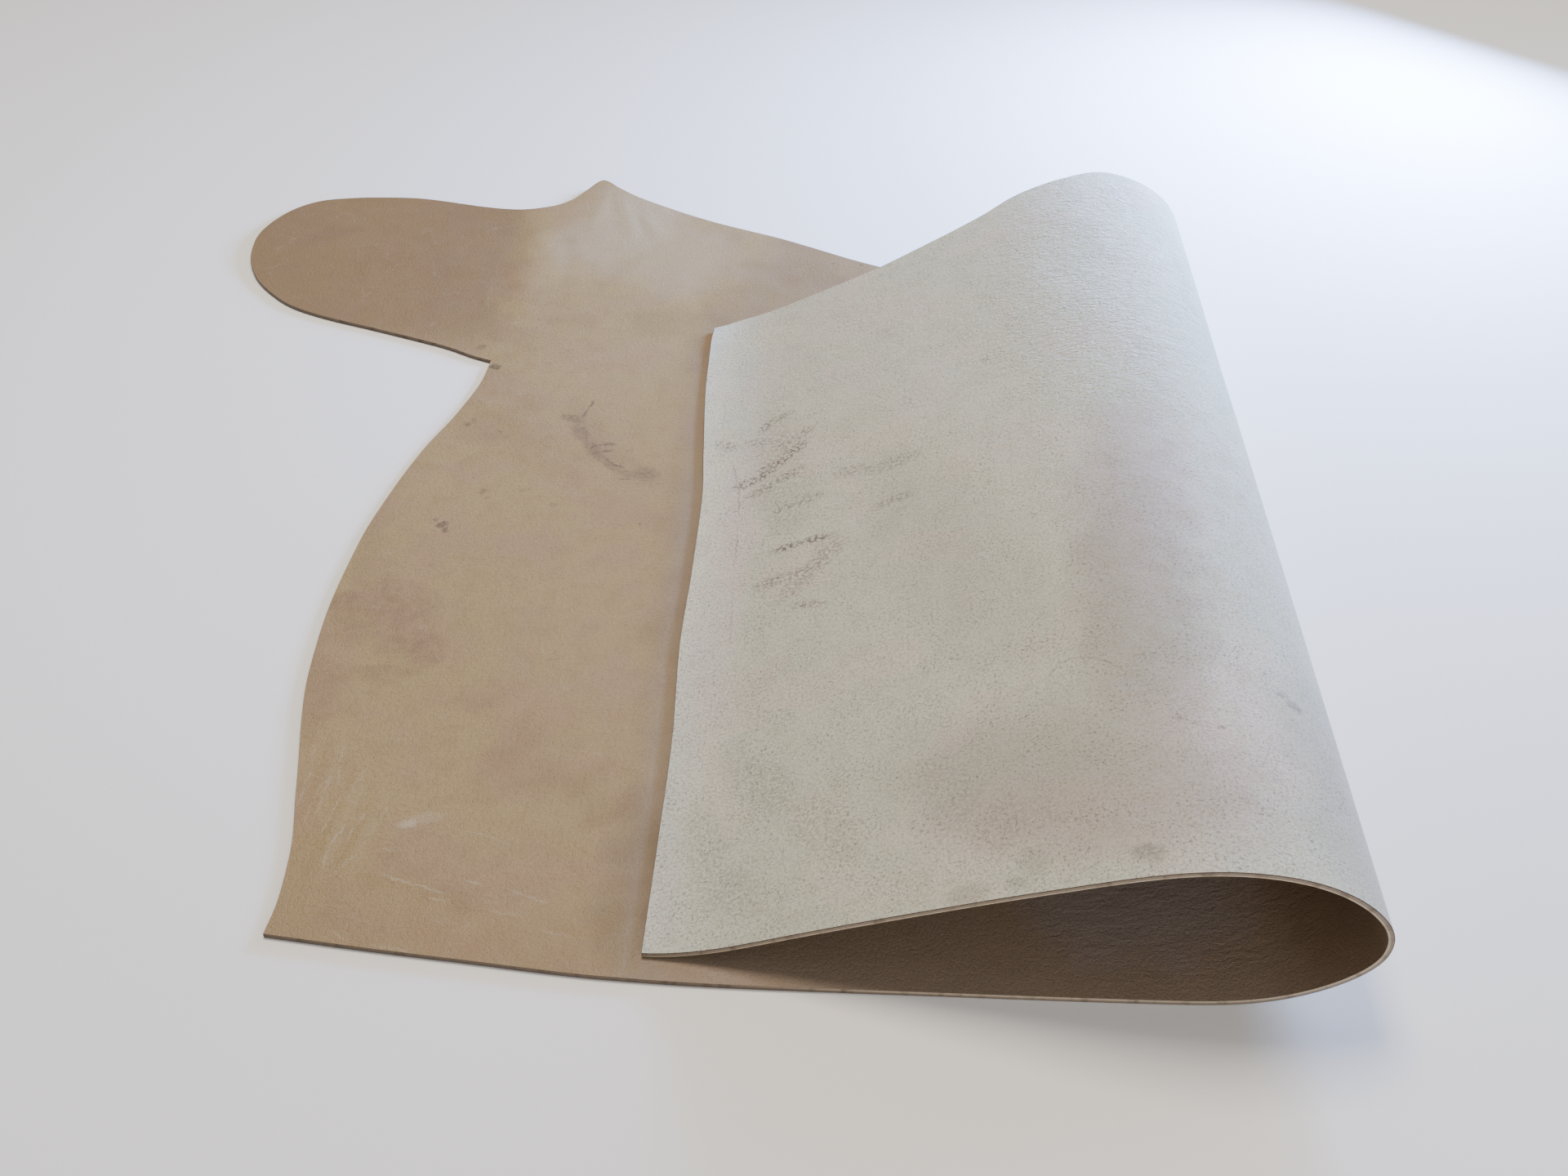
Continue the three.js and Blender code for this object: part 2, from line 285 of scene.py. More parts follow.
FLESH_STREAKS = (
    (0.0075, 1.0, ((1.012, 0.438), (0.998, 0.441), (0.984, 0.451), (0.968, 0.468))),
    (0.0080, 0.9, ((0.994, 0.452), (0.978, 0.458), (0.960, 0.472))),
    (0.0070, 0.7, ((0.982, 0.474), (0.968, 0.480), (0.958, 0.486))),
    (0.0060, 0.8, ((0.998, 0.500), (0.990, 0.512), (0.974, 0.516))),
    (0.0080, 0.8, ((1.000, 0.424), (0.984, 0.430), (0.962, 0.440))),
    (0.0060, 0.7, ((0.985, 0.396), (0.968, 0.398), (0.946, 0.400))),
    (0.0055, 1.0, ((0.980, 0.351), (0.962, 0.352), (0.938, 0.350))),
    (0.0080, 0.7, ((0.990, 0.318), (0.972, 0.319), (0.952, 0.321))),
    (0.0050, 0.7, ((0.966, 0.288), (0.944, 0.281))),
    (0.0100, 0.5, ((1.004, 0.490), (0.990, 0.486), (0.976, 0.470))),
    (0.0080, 0.7, ((1.029, 0.496), (1.020, 0.490))),
    (0.0130, 0.55, ((0.972, 0.300), (0.952, 0.322), (0.934, 0.340))),
    (0.0100, 0.55, ((0.934, 0.420), (0.905, 0.410), (0.880, 0.412))),
    (0.0060, 0.6, ((0.908, 0.366), (0.894, 0.369), (0.882, 0.370))),
    (0.0300, 0.32, ((0.985, 0.500), (0.978, 0.440), (0.972, 0.390))),
    (0.0200, 0.30, ((0.995, 0.150), (0.960, 0.110), (0.930, 0.070))),
    (0.0250, 0.22, ((0.880, 0.110), (0.860, 0.060), (0.820, 0.055))),
    (0.0180, 0.30, ((1.020, 0.120), (1.010, 0.070), (0.985, 0.045))),
)
FLESH_LINES = (
    (0.0009, 0.8, ((1.018, 0.470), (1.012, 0.440), (1.009, 0.400))),
    (0.0009, 0.5, ((1.009, 0.400), (1.010, 0.340), (1.008, 0.256))),
    (0.0010, 0.6, ((0.980, 0.351), (0.962, 0.353), (0.938, 0.349))),
    (0.0009, 0.8, ((0.806, 0.160), (0.800, 0.168), (0.788, 0.170), (0.778, 0.166), (0.764, 0.153))),
    (0.0009, 0.7, ((0.758, 0.162), (0.750, 0.163))),
    (0.0009, 0.6, ((0.742, 0.118), (0.738, 0.110), (0.730, 0.104))),
    (0.0009, 0.5, ((0.712, 0.106), (0.718, 0.103))),
    (0.0010, 0.5, ((0.826, 0.506), (0.822, 0.500), (0.818, 0.508))),
)
FLESH_STAINS = (
    (0.768, 0.019, 0.012, 0.007, 10, 0.75),
    (0.766, 0.014, 0.005, 0.008, 90, 0.45),
    (0.826, 0.027, 0.014, 0.010, 60, 0.45),
    (0.836, 0.016, 0.010, 0.006, 20, 0.35),
    (0.861, 0.016, 0.016, 0.008, 0, 0.45),
    (0.669, 0.134, 0.008, 0.005, 30, 0.9),
    (0.676, 0.141, 0.004, 0.006, 80, 0.7),
    (0.739, 0.110, 0.003, 0.0022, 0, 0.6),
    (0.718, 0.103, 0.0025, 0.0022, 0, 0.8),
    (0.882, 0.274, 0.0016, 0.0030, 80, 0.8),
    (0.802, 0.311, 0.0016, 0.0030, 100, 0.5),
    (0.822, 0.506, 0.004, 0.003, 20, 0.5),
)
PINK_PATCHES = (
    (0.732, 0.316, 0.120, 0.050, 95, 0.8),
    (0.717, 0.097, 0.100, 0.055, 100, 0.9),
    (0.808, 0.053, 0.120, 0.040, 10, 0.8),
    (1.012, 0.386, 0.120, 0.024, 92, 0.9),
    (1.020, 0.220, 0.120, 0.018, 90, 0.6),
    (0.975, 0.470, 0.060, 0.045, 40, 0.5),
    (0.900, 0.620, 0.090, 0.040, 20, 0.4),
    (0.690, 0.730, 0.060, 0.030, 150, 0.7),
    (0.965, 0.320, 0.040, 0.030, 20, 0.5),
)
DRY_FLESH = (
    (1.034, 0.450, 0.300, 0.018, 91, 0.9),
    (1.000, 0.640, 0.050, 0.030, 20, 0.6),
    (1.020, 0.120, 0.100, 0.012, 90, 0.4),
)
FLESH_SHADED = (
    (0.745, 0.240, 0.240, 0.055, 95, 0.80),
    (0.800, 0.080, 0.140, 0.070, 20, 0.70),
    (0.860, 0.300, 0.160, 0.060, 70, 0.30),
    (0.640, 0.080, 0.120, 0.060, 95, 0.60),
)
# Where the back of the fold is creased by the bend. Columns as for marks
LOOSE_FLESH = (
    (0.710, 0.600, 0.230, 0.140, 100, 1.0),
    (0.640, 0.420, 0.180, 0.050, 92, 0.5),
    (0.690, 0.725, 0.050, 0.032, 150, 1.4),
)
WRINKLED_GRAIN = (
    (0.510, 0.065, 0.120, 0.080, 10, 1.0),
    (0.040, 0.110, 0.100, 0.045, 96, 0.8),
    (0.120, 0.850, 0.080, 0.050, 100, 0.7),
    (0.100, 0.070, 0.080, 0.035, -14, 0.5),
)

# Soft borders on the flat cut, from where a colour starts to where it is full
# Painted shade on the foreleg and a painted shadow on the back lie past the first two borders
LEG_SHADE_X, LEG_SHADE_Y = (0.062, 0.020), (0.60, 0.68)
BACK_SHADOW_X, BACK_SHADOW_Y = (-0.022, 0.016), (0.50, 0.72)
FRONT_Y = (0.17, 0.03)
FLAP_X, FLAP_Y = (0.190, 0.215), (0.68, 0.62)
# The cut edge goes from painted shade on the left to painted light on the right
LIT_EDGE_X = (0.22, 0.42)
# The border of the painted shadow on the back moves by this share of y, and clouds push the borders to and fro
# by metres
BACK_SHADOW_SLANT = 0.33
BORDER_DRIFT = 0.03
FRONT_DRIFT = 0.08

# Uneven patterns. Columns: size, detail, roughness, noise at start and end, share at start and end
ROSY_GRAIN = (50 * MM, 3.0, 0.50, 0.40, 0.66, 0.00, 0.70)
GRAIN_CLOUDS = (
    (90 * MM, 4.0, 0.50, 0.50, 0.72, 0.00, 0.22),
    (14 * MM, 4.0, 0.50, 0.45, 0.75, 0.00, 0.14),
    (3 * MM, 4.0, 0.50, 0.42, 0.80, 0.00, 0.26),
)
SMUDGE_PATCHES = (9 * MM, 5.0, 0.65, 0.30, 0.62, 0.35, 1.00)
SCUFF_PATCHES = (3.5 * MM, 4.0, 0.70, 0.35, 0.60, 0.50, 0.95)
STAIN_PATCHES = (2.5 * MM, 3.0, 0.70, 0.35, 0.60, 0.45, 0.90)
GROWTH_PATCHES = (25 * MM, 2.0, 0.50, 0.45, 0.60, 0.00, 0.18)
GRAIN_ROUGHNESS = (22 * MM, 4.0, 0.50, 0.35, 0.70, 0.56, 0.70)
ROSY_FLESH = (60 * MM, 4.0, 0.50, 0.50, 0.70, 0.00, 0.45)
FLESH_CLOUDS = (
    (35 * MM, 4.0, 0.60, 0.50, 0.75, 0.00, 0.14),
    (8 * MM, 4.0, 0.60, 0.50, 0.75, 0.00, 0.20),
    (1.8 * MM, 4.0, 0.60, 0.42, 0.66, 0.00, 0.50),
)
HIGH_FIBRES = (2.6 * MM, 3.0, 0.70, 0.44, 0.58, 0.00, 1.00)
DRIP_PATCHES = (3 * MM, 4.0, 0.70, 0.30, 0.60, 0.25, 0.60)
FLESH_ROUGHNESS = (15 * MM, 3.0, 0.50, 0.35, 0.70, 0.80, 0.92)
EDGE_CLOUDS = (9 * MM, 3.0, 0.50, 0.50, 0.75, 0.00, 0.50)
# Specks strewn over the nap, more of them in some places. Columns: specks, places, share
STREWN = (
    ((1.4 * MM, 1.0, 0.60, 0.57, 0.68, 0.00, 1.00), (19.6 * MM, 3.0, 0.50, 0.38, 0.62, 0.25, 1.00), 0.45),
    ((2.1 * MM, 1.0, 0.60, 0.64, 0.71, 0.00, 1.00), (29.4 * MM, 3.0, 0.50, 0.38, 0.62, 0.25, 1.00), 0.60),
)

# Spacing and width of the fine patterns, and how deep the relief of each surface is
PORE_SPACING = 1.6 * MM
NET_SPACING = 4.5 * MM
GROWTH_SPACING = 45 * MM
GROWTH_WIDTH = 0.008
WRINKLE_WIDTH = 5 * MM
NAP_WIDTH = 1.6 * MM
FOLD_WIDTH = 4.5 * MM
EDGE_FIBRE = 1.2 * MM
EDGE_SQUASH = 0.012
EDGE_RAGGED = 0.35
GRAIN_DEPTH = 0.35 * MM
FLESH_DEPTH = 0.40 * MM
EDGE_DEPTH = 0.25 * MM

# Settings that many nodes share: a soft start and end, and a noise in x and y alone
EASED = {"interpolation_type": "SMOOTHSTEP"}
IN_PLANE = {"noise_dimensions": "2D"}


def linear(hex_colour):
    """Linear RGBA of an sRGB hex colour."""
    parts = [int(hex_colour[k:k + 2], 16) / 255 for k in (1, 3, 5)]
    return (*(c / 12.92 if c <= 0.04045 else ((c + 0.055) / 1.055) ** 2.4 for c in parts), 1.0)


def through(rows, at):
    """Smooth value through the rows of a table, which never swings past them."""
    last = len(rows) - 1
    at = min(max(at, rows[0][0]), rows[last][0])
    k = 0
    while k < last - 1 and at > rows[k + 1][0]:
        k += 1

    def slope(row):
        row = min(max(row, 0), last - 1)
        return (rows[row + 1][1] - rows[row][1]) / (rows[row + 1][0] - rows[row][0])

    def lean(row):
        before, after = slope(row - 1), slope(row)
        return 2 * before * after / (before + after) if before * after > 0 else 0.0

    span = rows[k + 1][0] - rows[k][0]
    t = (at - rows[k][0]) / span
    rise = t * t * (3 - 2 * t)
    early = t * (1 - t) ** 2 * span * lean(k)
    late = t * t * (t - 1) * span * lean(k + 1)
    return rows[k][1] + (rows[k + 1][1] - rows[k][1]) * rise + early + late


def walk_bend(thickness):
    """Middle of the leather's section: (x, z, angle) at even steps from where it leaves the surface."""
    step = (TUCKED_END - FOLD_START) / WALK_STEPS
    stops = [(FOLD_START, thickness / 2, 0.0)]
    for k in range(WALK_STEPS + WALK_SPARE):
        angle = math.radians(through(BEND, (k + 0.5) * step))
        x, z, _ = stops[-1]
        stops.append((x + step * math.cos(angle), z + step * math.sin(angle), angle))
    end = TUCKED_END - FOLD_START
    # The flap settles until its end lies on the lower layer, but for the gap
    drop = thickness * 1.5 + LAYER_GAP - stops[round(end / step)][1]
    settled = []
    for k, (x, z, angle) in enumerate(stops):
        t = min(max((k * step - LEVEL_FROM) / (end - LEVEL_FROM), 0.0), 1.0)
        settled.append((x, z + drop * t * t * (3 - 2 * t), angle))
    return step, settled


def section_at(walk, thickness, along):
    """Place and direction of the middle of the leather at a distance along the flat cut."""
    step, stops = walk
    if along <= FOLD_START:
        return along, thickness / 2, 0.0
    place = (along - FOLD_START) / step
    k = min(int(place), len(stops) - 2)
    t = place - k
    return tuple(a + (b - a) * t for a, b in zip(stops[k], stops[k + 1]))


def spline_at(rows, share):
    """Point on a Catmull-Rom curve through the rows of a table."""
    place = share * (len(rows) - 1)
    k = min(int(place), len(rows) - 2)
    t = place - k
    ends = [Vector(rows[min(max(k + d, 0), len(rows) - 1)]) for d in (-1, 0, 1, 2)]
    a, b, c, d = ends
    return 0.5 * (
        2 * b + (c - a) * t + (2 * a - 5 * b + 4 * c - d) * t * t + (3 * b - a - 3 * c + d) * t ** 3)


def even_spline(rows, count):
    """Points at even distances along the curve through the rows, from its start to just short of its end."""
    fine = [spline_at(rows, k / SPLINE_STEPS) for k in range(SPLINE_STEPS + 1)]
    run = [0.0]
    for before, after in zip(fine, fine[1:]):
        run.append(run[-1] + (after - before).length)
    points = []
    at = 0
    for k in range(count):
        wanted = run[-1] * (k / count) ** CROWDING
        while run[at + 1] < wanted:
            at += 1
        share = (wanted - run[at]) / (run[at + 1] - run[at])
        points.append(fine[at].lerp(fine[at + 1], share))
    return points


def bend_stations(walk, thickness):
    """Distances along the cut of the full columns, closer where the leather turns."""
    steps = STATION_STEPS
    reach = TIP_START - BODY_START
    weight = [0.0]
    for k in range(steps):
        here = section_at(walk, thickness, BODY_START + reach * k / steps)[2]
        there = section_at(walk, thickness, BODY_START + reach * (k + 1) / steps)[2]
        weight.append(weight[-1] + reach / steps + abs(there - here) * TURN_LENGTH)
    stations = []
    at = 0
    for k in range(BEND_STEPS + 1):
        wanted = weight[-1] * k / BEND_STEPS
        while at < steps - 1 and weight[at + 1] < wanted:
            at += 1
        share = (wanted - weight[at]) / (weight[at + 1] - weight[at])
        stations.append(BODY_START + reach * (at + share) / steps)
    return stations


def flat_point(x, share, behind):
    """A point on a full column, in front of the armpit's line or behind it."""
    near = ARMPIT_Y if behind else through(FRONT_EDGE, x)
    far = through(BACK_EDGE, x) if behind else ARMPIT_Y
    return Vector((x, near + (far - near) * share))


def flat_row(share, behind, stations):
    """One row of the body from its left end to the flap's cut end."""
    depth = through(FRONT_EDGE, 0.0) * (1 - share) + ARMPIT_Y * share
    left = ARMPIT_X if behind else through(NECK_EDGE, depth)
    xs = [left + (BODY_START - left) * k / FAN_STEPS for k in range(FAN_STEPS)] + stations
    row = [flat_point(x, share, behind) for x in xs]
    end = TUCKED_END + through(FLAP_END, flat_point(TUCKED_END, share, behind).y)
    for k in range(1, TIP_STEPS + 1):
        row.append(flat_point(TIP_START + (end - TIP_START) * k / TIP_STEPS, share, behind))
    return row


def flat_rows(stations):
    """The whole flat cut as rows of points. Rows in front of the armpit have no foreleg."""
    rows = [[None] * LEG_STEPS + flat_row(k / FRONT_ROWS, False, stations) for k in range(FRONT_ROWS)]
    fronts = even_spline(LEG_FRONT_EDGE, LEG_STEPS)
    backs = even_spline(LEG_BACK_EDGE, LEG_STEPS)
    for k in range(BACK_ROWS + 1):
        share = k / BACK_ROWS
        rows.append([a.lerp(b, share) for a, b in zip(fronts, backs)] + flat_row(share, True, stations))
    return rows


def lift_at(x, y):
    """Height by which the lower layer stands off the surface."""
    total = 0.0
    for mid_x, mid_y, reach, height in LIFTS:
        away = min(math.hypot(x - mid_x, y - mid_y) / reach, 1.0)
        total += height * (0.5 + 0.5 * math.cos(math.pi * away))
    return total


def crease_at(x, y):
    """Distance by which a place of the flat cut is pushed towards the grain side."""
    total = 0.0
    for mid_x, mid_y, length, width, turn, height in CREASES:
        if max(abs(x - mid_x), abs(y - mid_y)) > max(length, width):
            continue
        cos, sin = math.cos(math.radians(turn)), math.sin(math.radians(turn))
        along = ((x - mid_x) * cos + (y - mid_y) * sin) / length
        across = ((y - mid_y) * cos - (x - mid_x) * sin) / width
        away = along * along + across * across
        if away < 1:
            total += height * (1 - away) ** 2
    return total


def add_cut(bm, cut, outward, stations):
    """Lays the grid out as the flat cut and keeps each point's place on it."""
    rows = flat_rows(stations)
    columns, row_count = len(rows[-1]), len(rows)
    bmesh.ops.create_grid(bm, x_segments=columns - 1, y_segments=row_count - 1, size=1.0)
    spare = []
    for vert in bm.verts:
        column = round((vert.co.x + 1) / 2 * (columns - 1))
        row = round((vert.co.y + 1) / 2 * (row_count - 1))
        place = rows[row][column]
        if place is None:
            spare.append(vert)
        else:
            vert.co = (place.x, place.y, 0.0)
            vert[cut] = vert.co
    bmesh.ops.delete(bm, geom=spare, context="VERTS")
    for edge in [e for e in bm.edges if e.is_boundary]:
        loop = edge.link_loops[0]
        run = loop.link_loop_next.vert.co - loop.vert.co
        side = Vector((run.y, -run.x, 0.0)).normalized()
        for vert in edge.verts:
            vert[outward] = vert[outward] + side * 0.5


def band_at(face, cut, bands):
    """Number of the band that the middle of a face lies in."""
    middle = sum((vert[cut] for vert in face.verts), Vector()) / len(face.verts)
    for number, (_, low_x, high_x, low_y, high_y) in enumerate(bands):
        if low_x <= middle.x < high_x and low_y <= middle.y < high_y:
            return number
    raise ValueError("a face of the leather lies outside every band")


def thicken(bm, cut):
    """Raises the grain face from the flesh face, with walls between them that are cut into rings."""
    flesh = list(bm.faces)
    made = bmesh.ops.extrude_face_region(bm, geom=flesh, use_keep_orig=True)["geom"]
    grain = [f for f in made if isinstance(f, bmesh.types.BMFace)]
    raised = {v for v in made if isinstance(v, bmesh.types.BMVert)}
    for vert in raised:
        vert[cut] = vert[cut] + Vector((0.0, 0.0, 1.0))
    bmesh.ops.reverse_faces(bm, faces=flesh)
    flat_faces = set(grain) | set(flesh)
    walls = [f for f in bm.faces if f not in flat_faces]
    for face in grain:
        face.material_index = band_at(face, cut, GRAIN_BANDS)
    for face in flesh:
        face.material_index = len(GRAIN_BANDS) + band_at(face, cut, FLESH_BANDS)
    for face in walls:
        face.material_index = len(GRAIN_BANDS) + len(FLESH_BANDS)
    uprights = [e for f in walls for e in f.edges if (e.verts[0] in raised) != (e.verts[1] in raised)]
    bmesh.ops.subdivide_edges(bm, edges=list(set(uprights)), cuts=EDGE_CUTS, use_grid_fill=True)
    for face in bm.faces:
        face.smooth = True
    # The rims between the cut edge and the two sides stay sharp
    for edge in bm.edges:
        edge.smooth = len({face in flat_faces for face in edge.link_faces}) == 1


def shape_leather(bm, cut, outward, walk, sizes):
    """Bends every point from the flat cut to its place."""
    thickness = sizes.thickness
    for vert in bm.verts:
        x, y, level = vert[cut]
        around = vert[outward]
        # The cut edge stands out most in the middle of its thickness
        swell = math.sqrt(max(0.0, 1 - (2 * level - 1) ** 2))
        x += around.x * swell * sizes.edge_round
        y += around.y * swell * sizes.edge_round
        mid_x, mid_z, angle = section_at(walk, thickness, x)
        off = (level - 0.5) * thickness + crease_at(x, y) * sizes.creases
        place_x = mid_x - off * math.sin(angle)
        vert.co = (place_x, y, mid_z + off * math.cos(angle) + lift_at(place_x, y))


def make_leather(sizes):
    """The whole leather as one closed mesh in the frame's place."""
    walk = walk_bend(sizes.thickness)
    bm = bmesh.new()
    cut = bm.verts.layers.float_vector.new("cut")
    outward = bm.verts.layers.float_vector.new("outward")
    add_cut(bm, cut, outward, bend_stations(walk, sizes.thickness))
    thicken(bm, cut)
    shape_leather(bm, cut, outward, walk, sizes)
    # Only now does the leather have a thickness that tells its inside from its outside
    bmesh.ops.recalc_face_normals(bm, faces=bm.faces)
    low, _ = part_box(NODE)
    bmesh.ops.translate(bm, verts=bm.verts, vec=(low[0] - LOWEST_X, low[1] - LOWEST_Y, low[2]))
    mesh = bpy.data.meshes.new("leather")
    bm.to_mesh(mesh)
    bm.free()
    leather = bpy.data.objects.new("leather", mesh)
    bpy.context.scene.collection.objects.link(leather)
    return leather


def add_node(tree, kind, *values, output=None, **settings):
    """Adds one shader node and gives its output. Values fill its sockets, capitalised names too."""
    node = tree.nodes.new("ShaderNode" + kind)
    for name, value in settings.items():
        if name.islower():
            setattr(node, name, value)
    filled = list(zip([socket for socket in node.inputs if socket.enabled], values))
    filled += [
        (node.inputs[name.replace("_", " ")], value) for name, value in settings.items() if not name.islower()]
    for socket, value in filled:
        if isinstance(value, bpy.types.NodeSocket):
            tree.links.new(value, socket)
        else:
            socket.default_value = value
    return node.outputs[output] if output else next((out for out in node.outputs if out.enabled), None)


def new_material(name):
    """An empty node material and its tree."""
    material = bpy.data.materials.new(name)
    material.use_nodes = True
    material.node_tree.nodes.clear()
    return material, material.node_tree


def plain(name, colour, roughness):
    """A material of one even colour, for the floor."""
    material, tree = new_material(name)
    shader = add_node(tree, "BsdfPrincipled", Base_Color=linear(colour), Roughness=roughness)
    add_node(tree, "OutputMaterial", shader)
    return material


def flat_place(tree):
    """Place on the flat cut as (x, y, 1), so that one dot product measures a distance along any direction."""
    cut = add_node(tree, "Attribute", attribute_name="cut", output="Vector")
    return add_node(tree, "VectorMath", cut, (1, 1, 0), (0, 0, 1), operation="MULTIPLY_ADD")


def patches(tree, place, row):
    """Uneven pattern between two shares, as a row of sizes and shares says."""
    size, detail, rough, *levels = row
    noise = add_node(tree, "TexNoise", place, 1 / size, detail, rough, **IN_PLANE)
    return add_node(tree, "MapRange", noise, *levels, **EASED)


def broken(tree, mask, place, row):
    """A mask broken up by an uneven pattern."""
    return add_node(tree, "Math", mask, patches(tree, place, row), operation="MULTIPLY")


def drifting(tree, distance, place, size, reach):
    """A distance pushed to and fro by clouds, so that a border at it wanders."""
    cloud = add_node(tree, "TexNoise", place, 1 / size, 3.0, **IN_PLANE)
    return add_node(tree, "Math", cloud, reach, distance, operation="MULTIPLY_ADD")


def region(tree, x, x_border, y, y_border, share=1.0):
    """Part of the cut that lies past two soft borders."""
    past_x = add_node(tree, "MapRange", x, *x_border, **EASED)
    past_y = add_node(tree, "MapRange", y, *y_border, 0.0, share, **EASED)
    return add_node(tree, "Math", past_x, past_y, operation="MULTIPLY")


def tint(tree, base, colour, mask, share=1.0):
    """A colour laid over another where a mask says, thinned to a share."""
    thinned = add_node(tree, "Math", mask, share, operation="MULTIPLY")
    return add_node(tree, "Mix", thinned, base, colour, data_type="RGBA")


def relief(tree, parts):
    """Height added up from patterns, each times its share."""
    total = 0.0
    for pattern, share in parts:
        total = add_node(tree, "Math", pattern, share, total, operation="MULTIPLY_ADD")
    return total


def ragged(tree, place, size, amount):
    """The place, shaken so that what is drawn at it gets uneven borders."""
    shake = add_node(tree, "TexNoise", place, 1 / size, 1.0, **IN_PLANE, output="Color")
    centred = add_node(tree, "VectorMath", shake, (0.5, 0.5, 0.5), operation="SUBTRACT")
    scaled = add_node(tree, "VectorMath", centred, (amount, amount, 0), operation="MULTIPLY")
    return add_node(tree, "VectorMath", place, scaled, operation="ADD")


def marks(tree, place, rows, band, soft=0.9):
    """Mask of the marks of a table that reach into a band, each fading over a soft share of its reach."""
    _, low_x, high_x, low_y, high_y = band
    total = 0.0
    for x, y, length, width, turn, strength in rows:
        reach = max(length, width) + SHAKEN
        if not (low_x - reach < x < high_x + reach and low_y - reach < y < high_y + reach):
            continue
        cos, sin = math.cos(math.radians(turn)), math.sin(math.radians(turn))
        to_along = Vector((cos, sin, -x * cos - y * sin)) / length
        to_across = Vector((-sin, cos, x * sin - y * cos)) / width
        along = add_node(tree, "VectorMath", place, to_along, operation="DOT_PRODUCT")
        across = add_node(tree, "VectorMath", place, to_across, operation="DOT_PRODUCT")
        squared = add_node(tree, "Math", across, across, operation="MULTIPLY")
        away = add_node(tree, "Math", along, along, squared, operation="MULTIPLY_ADD")
        mask = add_node(tree, "MapRange", away, 1.0, (1.0 - soft) ** 2, 0.0, strength, **EASED)
        total = add_node(tree, "Math", total, mask, operation="MAXIMUM")
    return total


def stroke_rows(strokes):
    """Rows of marks that follow strokes of a few points."""
    rows = []
    for width, strength, points in strokes:
        for (x0, y0), (x1, y1) in zip(points, points[1:]):
            half = math.hypot(x1 - x0, y1 - y0) / 2
            turn = math.degrees(math.atan2(y1 - y0, x1 - x0))
            rows.append(((x0 + x1) / 2, (y0 + y1) / 2, half * STROKE_OVERLAP + width, width, turn, strength))
    return rows


def finish_surface(tree, colour, rough, height, depth, **settings):
    """Joins colour, roughness and height into the leather's shader."""
    bump = add_node(tree, "Bump", Height=height, Strength=1.0, Distance=depth)
    shader = add_node(tree, "BsdfPrincipled", Base_Color=colour, Roughness=rough, Normal=bump, **settings)
    add_node(tree, "OutputMaterial", shader)


